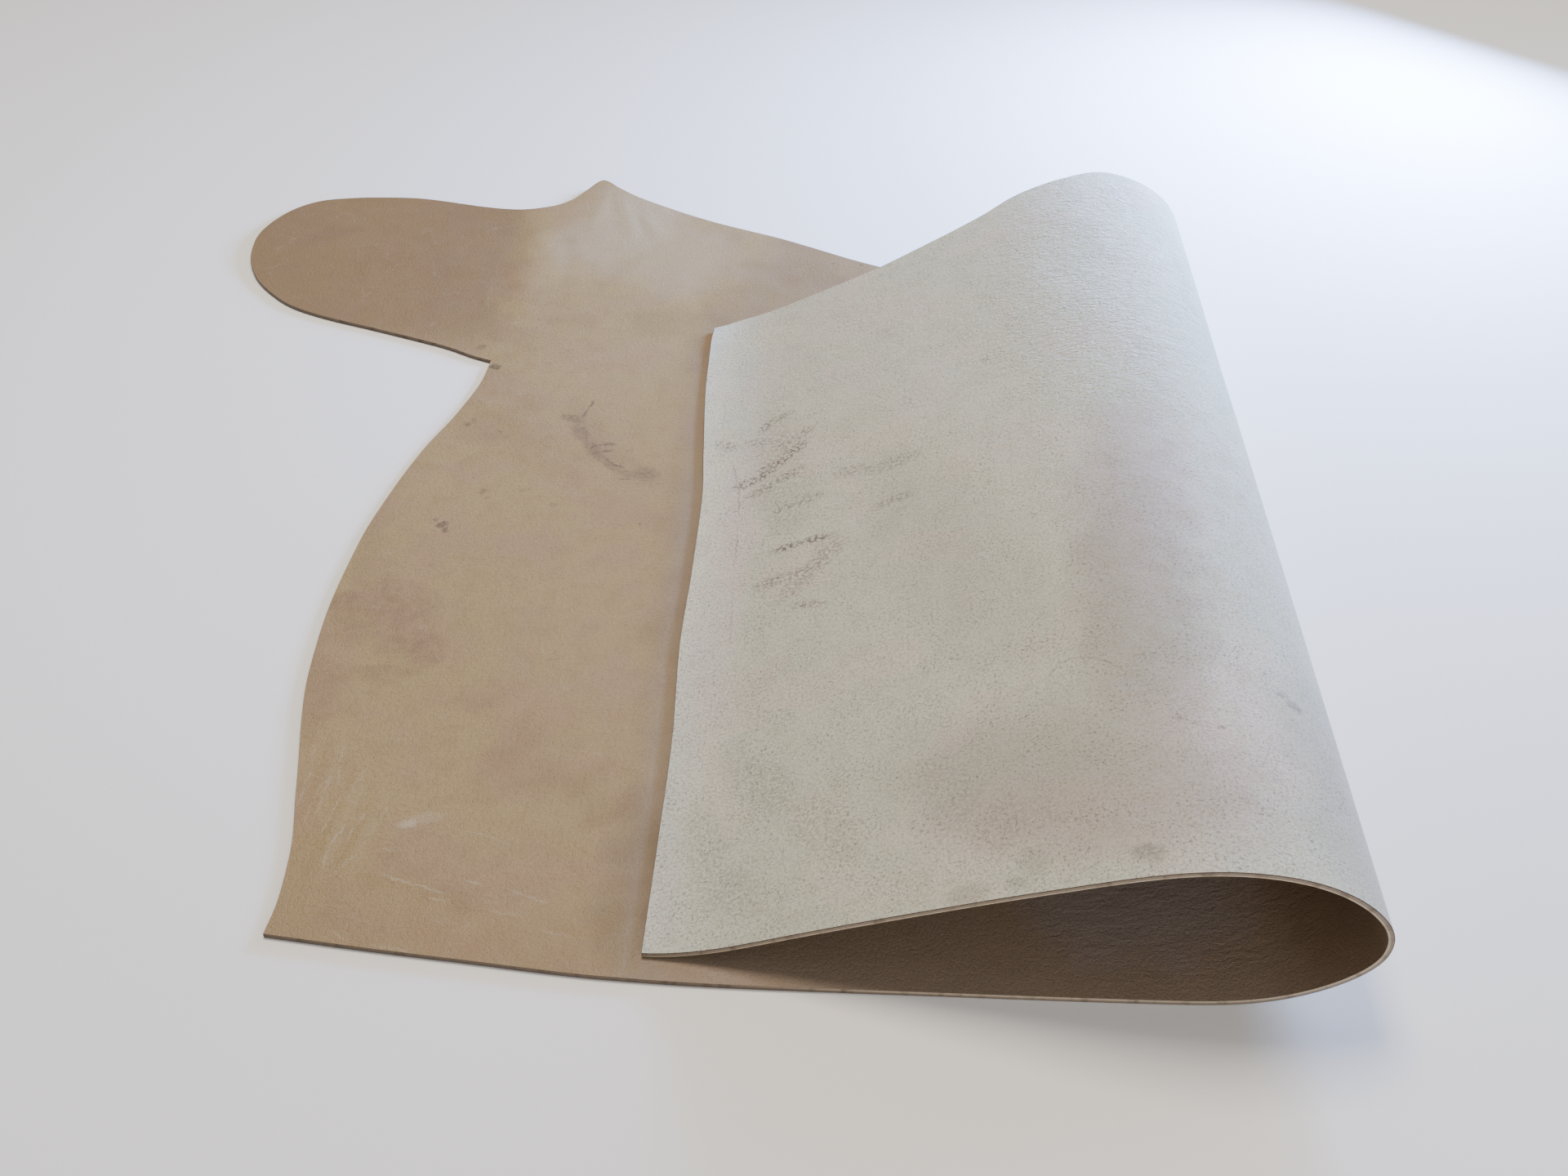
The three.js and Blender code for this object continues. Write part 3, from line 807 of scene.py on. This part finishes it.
def grain_material(colours, band):
    """Vegetable-tanned full grain: undyed, uneven tan with pores, growth lines, wrinkles and scuffs."""
    material, tree = new_material("vegetable_tanned_grain_" + band[0])
    flat = flat_place(tree)
    torn = ragged(tree, flat, size=5 * MM, amount=3.5 * MM)
    smoky = ragged(tree, flat, size=30 * MM, amount=24 * MM)
    x, y, _ = add_node(tree, "SeparateXYZ", flat).node.outputs

    # Two tans of one depth in blotches of 50 mm, then darker clouds of 90, 14 and 3 mm
    colour = tint(tree, colours.grain, colours.grain_rosy, patches(tree, flat, ROSY_GRAIN))
    for row in GRAIN_CLOUDS:
        colour = tint(tree, colour, colours.grain_dark_and_shade, patches(tree, flat, row))

    # Painted shade darkens the foreleg, up to a soft border in front of the shoulder
    border = drifting(tree, x, flat, 40 * MM, BORDER_DRIFT)
    foreleg = region(tree, border, LEG_SHADE_X, y, LEG_SHADE_Y)
    colour = tint(tree, colour, colours.grain_dark_and_shade, foreleg, share=0.62)
    # A painted shadow darkens the back behind a slanting border
    slant = add_node(tree, "Math", y, -BACK_SHADOW_SLANT, border, operation="MULTIPLY_ADD")
    back = region(tree, slant, BACK_SHADOW_X, y, BACK_SHADOW_Y)
    colour = tint(tree, colour, colours.grain_dark_and_shade, back, share=0.40)
    # A painted sheen lightens the shoulder point and the middle of the back, and the finish is rubbed off one
    # spot
    pale = marks(tree, smoky, SHEEN_GRAIN, band)
    bare = marks(tree, torn, BARE_GRAIN, band, soft=0.8)
    pale = add_node(tree, "Math", pale, bare, operation="MAXIMUM")
    colour = tint(tree, colour, colours.grain_pale_and_sheen, pale)
    # Warmer and browner towards the straight front edge
    front = add_node(tree, "MapRange", drifting(tree, y, flat, 45 * MM, FRONT_DRIFT), *FRONT_Y, **EASED)
    colour = tint(tree, colour, colours.grain_warm, front, share=0.55)
    colour = tint(tree, colour, colours.grain_reddish, marks(tree, smoky, REDDISH_GRAIN, band))

    # The grain is greyer and duller under the flap and along its end, and a painted reflection greys it most
    # of all at the front of the fold
    covered = region(tree, x, FLAP_X, y, FLAP_Y, share=0.45)
    dulled = add_node(tree, "Math", covered, marks(tree, smoky, LOOP_REFLECTION_GRAIN, band), operation="MAXIMUM")
    colour = tint(tree, colour, colours.grain_dull_and_reflection, dulled)
    # Painted shade darkens the right end of the inside of the loop
    colour = tint(tree, colour, colours.grain_dark_and_shade, marks(tree, smoky, LOOP_SHADE_GRAIN, band))
    # A painted shadow lies along the flap's end
    colour = tint(tree, colour, colours.spot_and_shadow, marks(tree, smoky, FLAP_SHADOW_GRAIN, band))

    smudge = marks(tree, smoky, GRAIN_SMUDGES, band)
    colour = tint(tree, colour, colours.stain, broken(tree, smudge, flat, SMUDGE_PATCHES))
    scuff = marks(tree, torn, stroke_rows(GRAIN_SCUFFS), band, soft=0.85)
    colour = tint(tree, colour, colours.scuff, broken(tree, scuff, flat, SCUFF_PATCHES))
    stains = marks(tree, torn, GRAIN_STAINS, band, soft=0.7)
    colour = tint(tree, colour, colours.spot_and_shadow, broken(tree, stains, flat, STAIN_PATCHES))
    cracks = marks(tree, torn, stroke_rows(PALE_CRACKS + NECK_LINES), band, soft=0.8)
    colour = tint(tree, colour, colours.grain_pale_and_sheen, cracks, share=0.55)
    # Thin pale growth lines wander over the grain, 30 to 60 mm apart
    swells = add_node(tree, "TexNoise", flat, 1 / GROWTH_SPACING, 3.0, **IN_PLANE)
    side = add_node(tree, "Math", swells, 0.5, operation="SUBTRACT")
    away = add_node(tree, "Math", side, operation="ABSOLUTE")
    growth = add_node(tree, "MapRange", away, GROWTH_WIDTH, 0.0, **EASED)
    colour = tint(tree, colour, colours.grain_pale_and_sheen, broken(tree, growth, flat, GROWTH_PATCHES))

    # Hair pores, drawn 1.6 mm apart so that they show, and the fine net of growth lines between them
    pores = add_node(tree, "TexVoronoi", flat, 1 / PORE_SPACING, voronoi_dimensions="2D")
    pore_pits = add_node(tree, "MapRange", pores, 0.05, 0.45, **EASED)
    net = add_node(
        tree, "TexVoronoi", torn, 1 / NET_SPACING, feature="DISTANCE_TO_EDGE", voronoi_dimensions="2D")
    net_lines = add_node(tree, "MapRange", net, 0.0, 0.18, **EASED)
    in_pores = add_node(tree, "Math", 1.0, pore_pits, operation="SUBTRACT")
    colour = tint(tree, colour, colours.grain_dark_and_shade, in_pores, share=0.22)

    # Stretched wrinkles where the hide was loose or is bent
    folds = add_node(
        tree, "Mapping", torn, vector_type="TEXTURE", Rotation=(0, 0, math.radians(8)), Scale=(3.0, 0.8, 1))
    loose = marks(tree, flat, WRINKLED_GRAIN, band, soft=0.7)
    wrinkles = add_node(tree, "TexNoise", folds, 1 / WRINKLE_WIDTH, 3.0, 0.6, **IN_PLANE, Distortion=0.4)
    wrinkles = add_node(tree, "Math", wrinkles, loose, operation="MULTIPLY")
    height = relief(tree, (
        (pore_pits, 0.20),
        (net_lines, 0.22),
        (add_node(tree, "TexNoise", flat, 1 / (2.2 * MM), 4.0, 0.6, **IN_PLANE), 0.35),
        (add_node(tree, "TexNoise", flat, 1 / (18 * MM), 2.0, **IN_PLANE), 0.8),
        (wrinkles, 1.6)))
    rough = add_node(
        tree, "Math", scuff, 0.1, patches(tree, flat, GRAIN_ROUGHNESS), operation="MULTIPLY_ADD")
    finish_surface(tree, colour, rough, height, GRAIN_DEPTH)
    return material


def flesh_material(colours, band):
    """Flesh side: a split, shaved nap, pale and greyish, rosy where thin, with drips and rubbed dirt."""
    material, tree = new_material("shaved_flesh_side_" + band[0])
    flat = flat_place(tree)
    torn = ragged(tree, flat, size=4 * MM, amount=3.5 * MM)
    smoky = ragged(tree, flat, size=30 * MM, amount=26 * MM)

    colour = tint(tree, colours.flesh, colours.flesh_rosy, patches(tree, flat, ROSY_FLESH))
    colour = tint(tree, colour, colours.flesh_rosy, marks(tree, smoky, PINK_PATCHES, band), share=0.85)
    colour = tint(tree, colour, colours.flesh_dry, marks(tree, smoky, DRY_FLESH, band))
    for row in FLESH_CLOUDS:
        colour = tint(tree, colour, colours.flesh_dark, patches(tree, flat, row))
    # The rising end of the flap and its front are darker and browner
    colour = tint(tree, colour, colours.flesh_dull, marks(tree, smoky, FLESH_SHADED, band), share=0.8)

    # Rubbed dirt breaks up into specks of 2 to 3 mm on the high fibres
    streaks = marks(tree, torn, stroke_rows(FLESH_STREAKS), band)
    colour = tint(tree, colour, colours.dirt, broken(tree, streaks, flat, HIGH_FIBRES))
    lines = marks(tree, torn, stroke_rows(FLESH_LINES), band, soft=0.8)
    colour = tint(tree, colour, colours.dirt, lines, share=0.55)
    drips = marks(tree, torn, FLESH_STAINS, band, soft=0.75)
    colour = tint(tree, colour, colours.spot_and_shadow, broken(tree, drips, flat, DRIP_PATCHES))
    for specks, places, share in STREWN:
        strewn = broken(tree, patches(tree, flat, specks), flat, places)
        colour = tint(tree, colour, colours.dirt, strewn, share=share)

    # Fibre bundles lie about 4 mm long and 1 mm wide, and the bend presses loose ones into fine folds
    fibres = add_node(
        tree, "Mapping", torn, vector_type="TEXTURE", Rotation=(0, 0, math.radians(-20)), Scale=(2.6, 0.8, 1))
    folds = add_node(tree, "Mapping", torn, vector_type="TEXTURE", Scale=(1.7, 0.8, 1))
    fold = add_node(tree, "TexNoise", folds, 1 / FOLD_WIDTH, 2.0, 0.6, **IN_PLANE, Distortion=0.8)
    loose = marks(tree, flat, LOOSE_FLESH, band, soft=0.8)
    height = relief(tree, (
        (add_node(tree, "TexNoise", fibres, 1 / NAP_WIDTH, 4.0, 0.65, **IN_PLANE), 0.5),
        (add_node(tree, "TexNoise", flat, 1 / (4 * MM), 4.0, 0.6, **IN_PLANE), 0.55),
        (add_node(tree, "TexNoise", flat, 1 / (25 * MM), 2.0, **IN_PLANE), 1.2),
        (add_node(tree, "Math", fold, loose, operation="MULTIPLY"), 4.5)))
    rough = patches(tree, flat, FLESH_ROUGHNESS)
    finish_surface(tree, colour, rough, height, FLESH_DEPTH, Sheen_Weight=0.12, Sheen_Roughness=0.5)
    return material


def edge_material(colours):
    """Raw knife-cut edge: a dark line at the flesh, brown fibres, and a pale band below the grain."""
    material, tree = new_material("raw_cut_edge")
    cut = add_node(tree, "Attribute", attribute_name="cut", output="Vector")
    x, _, level = add_node(tree, "SeparateXYZ", cut).node.outputs
    # The attribute counts the thickness from 0 to 1, which is squashed to the length of a fibre
    fibre_place = add_node(tree, "VectorMath", cut, (1, 1, EDGE_SQUASH), operation="MULTIPLY")
    fibre = add_node(tree, "TexNoise", fibre_place, 1 / EDGE_FIBRE, 4.0, 0.7)
    uneven = add_node(tree, "Math", fibre, 0.5, operation="SUBTRACT")
    level = add_node(tree, "Math", uneven, EDGE_RAGGED, level, operation="MULTIPLY_ADD")
    # Dark at the flesh. Painted light shows the pale band on the right, and painted shade darkens the whole
    # edge on the left
    lit_side = add_node(tree, "MapRange", x, *LIT_EDGE_X, 0.10, 1.0, **EASED)
    brown = add_node(
        tree, "Math", add_node(tree, "MapRange", level, 0.04, 0.22, **EASED),
        add_node(tree, "Math", lit_side, 0.35, operation="MAXIMUM"), operation="MULTIPLY")
    colour = tint(tree, colours.edge_dark_and_shade, colours.edge, brown)
    below_grain = add_node(tree, "MapRange", level, 0.55, 0.80, **EASED)
    pale = add_node(tree, "Math", below_grain, lit_side, operation="MULTIPLY")
    colour = tint(tree, colour, colours.edge_pale, pale)
    colour = tint(tree, colour, colours.edge_dark_and_shade, patches(tree, fibre_place, EDGE_CLOUDS))
    rough = add_node(tree, "MapRange", fibre, 0.3, 0.7, 0.72, 0.92, **EASED)
    finish_surface(tree, colour, rough, fibre, EDGE_DEPTH)
    return material


class LeatherSizes(bpy.types.PropertyGroup):
    """Sizes of the leather that a user may change."""
    thickness: bpy.props.FloatProperty(
        name="Thickness", description="Thickness of the leather", default=LEATHER_WEIGHT, min=MM,
        unit="LENGTH", precision=4)
    edge_round: bpy.props.FloatProperty(
        name="Edge rounding", description="How far the middle of the cut edge stands out",
        default=EDGE_BULGE, min=0.0,
        unit="LENGTH", precision=5)
    creases: bpy.props.FloatProperty(
        name="Creases", description="Share of the full depth of the soft creases",
        default=1.0, min=0.0, max=1.5,
        subtype="FACTOR")


def colour_of(name, description, colour):
    """A colour that a user may change, given as an sRGB hex value."""
    return bpy.props.FloatVectorProperty(
        name=name, description=description, subtype="COLOR", size=4, min=0.0, max=1.0, default=linear(colour))


class LeatherColours(bpy.types.PropertyGroup):
    """Colours of the leather that a user may change."""
    grain: colour_of("Grain", "Undyed tan of the grain side", "#9A8459")
    grain_rosy: colour_of("Rosy grain", "Blotches that turned rosy", "#987E5D")
    # Also paints shade on the foreleg, on the back and inside the loop
    grain_dark_and_shade: colour_of("Dark grain", "Grain that took the tan deeply", "#6E553A")
    # Also paints a sheen at the shoulder point and on the back
    grain_pale_and_sheen: colour_of("Pale grain", "Dry and stretched grain", "#AFA085")
    grain_warm: colour_of("Warm grain", "Grain near the front edge", "#89714F")
    grain_reddish: colour_of("Reddish grain", "Clouds at the neck and the front edge", "#94684A")
    # Also paints a greyish reflection inside the loop
    grain_dull_and_reflection: colour_of("Dull grain", "Grain inside the fold", "#928885")
    stain: colour_of("Smudge", "Brown smudges on the grain", "#6B4F3E")
    scuff: colour_of("Scuff", "Rubbed marks on the grain", "#64503F")
    dirt: colour_of("Dirt", "Rubbed dirt on the flesh side", "#6A5E54")
    # Also paints the shadow along the flap's end
    spot_and_shadow: colour_of("Spot", "Dark olive spots and drips", "#4A4030")
    flesh: colour_of("Flesh side", "Greyish nap of the flesh side", "#C5C6B2")
    flesh_rosy: colour_of("Rosy flesh", "Thinner places of the flesh side", "#D2C2B6")
    flesh_dry: colour_of("Dry flesh", "Yellowish nap along the cut end", "#D2CCB2")
    flesh_dull: colour_of("Dull flesh", "Browner nap near the bend", "#968C7E")
    flesh_dark: colour_of("Dark flesh", "Hollows of the nap", "#94907E")
    edge: colour_of("Cut edge", "Middle of the cut edge", "#86796A")
    # Also paints shade over the left part of the cut edge
    edge_dark_and_shade: colour_of("Dark edge", "Line of the cut edge at the flesh", "#40342A")
    edge_pale: colour_of("Pale edge", "Band of the cut edge at the grain", "#B8AA94")


class LEATHER_OT_sheet(bpy.types.Operator):
    """Add the folded leather in place of its plain solid"""
    bl_idname = "leather.sheet"
    bl_label = "Folded leather"

    def execute(self, context):
        leather = make_leather(context.scene.leather_sizes)
        colours = context.scene.leather_colours
        for band in GRAIN_BANDS:
            leather.data.materials.append(grain_material(colours, band))
        for band in FLESH_BANDS:
            leather.data.materials.append(flesh_material(colours, band))
        leather.data.materials.append(edge_material(colours))
        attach(leather, "root")
        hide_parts(NODE)
        return {"FINISHED"}


# Camera: f 2100 px on a photo 1920 px wide, 750 mm above the surface
PHOTO_WIDTH = 1920
FOCAL_PIXELS = 2100
SENSOR = 36.0
CAMERA_HEIGHT = 0.750
CAMERA_TILT = math.radians(39.741)
CAMERA_TURN = math.radians(1.720)
CAMERA_BEFORE = (0.304, -0.563)

# Soft lights. Columns: name, place, what it is aimed at, width, spread in degrees, watts, colour
LIGHTS = (
    ("window", (0.78, 0.78, 0.29), (0.30, 0.30, 0.00), 0.35, 150, 38.0, "#9CBCFF"),
    ("side", (1.50, 0.25, 0.60), (0.00, 0.00, 0.00), 0.60, 180, 6.0, "#E8EEFF"),
    ("fill", (0.55, -1.60, 0.50), (0.00, 0.00, 0.00), 0.60, 180, 6.5, "#FFF4EC"),
    ("overhead", (0.00, 0.45, 2.20), (0.00, 0.00, 0.00), 0.90, 180, 47.0, "#FFEEDA"),
)
SKY_COLOUR, SKY_STRENGTH = "#FFFFFF", 0.35
FLOOR_COLOUR, FLOOR_ROUGHNESS = "#FBFBFA", 0.9
FLOOR_REACH = 12.0


class LEATHER_OT_stage(bpy.types.Operator):
    """Add the pale floor, the soft lights and the camera"""
    bl_idname = "leather.stage"
    bl_label = "Floor, lights and camera"

    def execute(self, context):
        scene = context.scene
        low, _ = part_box(NODE)
        camera_data = bpy.data.cameras.new("camera")
        camera_data.sensor_width = SENSOR
        camera_data.lens = SENSOR * FOCAL_PIXELS / PHOTO_WIDTH
        camera = bpy.data.objects.new("camera", camera_data)
        camera.location = (
            low[0] - LOWEST_X + CAMERA_BEFORE[0], low[1] - LOWEST_Y + CAMERA_BEFORE[1], CAMERA_HEIGHT)
        camera.rotation_euler = (math.pi / 2 - CAMERA_TILT, 0.0, CAMERA_TURN)
        scene.collection.objects.link(camera)
        scene.camera = camera

        bm = bmesh.new()
        bmesh.ops.create_grid(bm, x_segments=1, y_segments=1, size=FLOOR_REACH)
        mesh = bpy.data.meshes.new("floor")
        bm.to_mesh(mesh)
        bm.free()
        floor = bpy.data.objects.new("floor", mesh)
        floor.data.materials.append(plain("floor", FLOOR_COLOUR, FLOOR_ROUGHNESS))
        scene.collection.objects.link(floor)

        for name, place, aim, size, spread, power, colour in LIGHTS:
            light_data = bpy.data.lights.new(name, "AREA")
            light_data.size = size
            light_data.spread = math.radians(spread)
            light_data.energy = power
            light_data.color = linear(colour)[:3]
            light = bpy.data.objects.new(name, light_data)
            light.location = place
            light.rotation_euler = (Vector(aim) - Vector(place)).to_track_quat("-Z", "Y").to_euler()
            light.visible_camera = False
            scene.collection.objects.link(light)

        world = bpy.data.worlds.new("studio")
        world.use_nodes = True
        sky = world.node_tree.nodes["Background"]
        sky.inputs["Color"].default_value = linear(SKY_COLOUR)
        sky.inputs["Strength"].default_value = SKY_STRENGTH
        scene.world = world
        return {"FINISHED"}


class LEATHER_PT_panel(bpy.types.Panel):
    """Sizes and steps of the folded leather"""
    bl_label = "Folded leather"
    bl_idname = "LEATHER_PT_panel"
    bl_space_type = "VIEW_3D"
    bl_region_type = "UI"
    bl_category = "Leather"

    def draw(self, context):
        for group in (context.scene.leather_sizes, context.scene.leather_colours):
            for name in group.__annotations__:
                self.layout.prop(group, name)
        self.layout.operator("leather.sheet")
        self.layout.operator("leather.stage")


CLASSES = (LeatherSizes, LeatherColours, LEATHER_OT_sheet, LEATHER_OT_stage, LEATHER_PT_panel)


def register():
    for cls in CLASSES:
        bpy.utils.register_class(cls)
    bpy.types.Scene.leather_sizes = bpy.props.PointerProperty(type=LeatherSizes)
    bpy.types.Scene.leather_colours = bpy.props.PointerProperty(type=LeatherColours)


def unregister():
    del bpy.types.Scene.leather_colours
    del bpy.types.Scene.leather_sizes
    for cls in reversed(CLASSES):
        bpy.utils.unregister_class(cls)


def main():
    register()
    bpy.ops.leather.stage()
    bpy.ops.leather.sheet()


if __name__ == "__main__":
    main()
